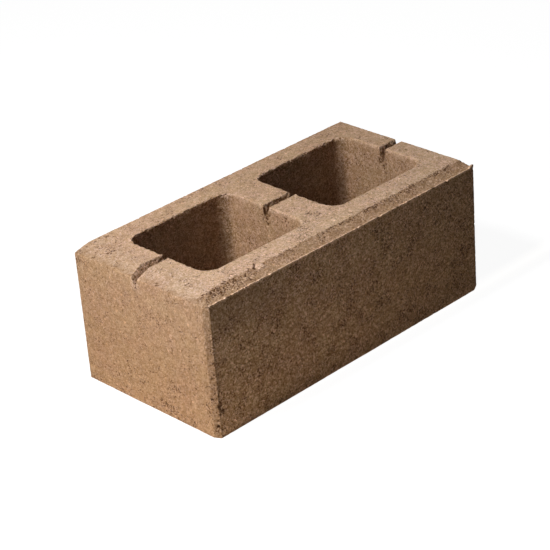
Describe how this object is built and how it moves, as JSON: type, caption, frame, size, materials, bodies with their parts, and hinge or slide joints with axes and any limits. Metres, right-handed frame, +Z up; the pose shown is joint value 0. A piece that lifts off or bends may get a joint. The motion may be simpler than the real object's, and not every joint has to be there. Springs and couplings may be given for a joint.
{
  "type": "concrete block",
  "caption": "Hollow concrete masonry corner unit cast in one piece, with tapered cells, a faced front and end, a sloped top margin and a core-bar groove across the webs.",
  "frame": {"origin": "centre of the overall box at the bottom bed face, where the block stands", "axes": "+X along the length, from the faced end to the plain end; +Y from the faced front to the back; +Z up, out of the open top"},
  "size_m": [0.397, 0.197, 0.153],
  "materials": {
    "concrete": "cast, sandy and porous, tan"
  },
  "bodies": {
    "root": {"block": "concrete"}
  },
  "joints": []
}
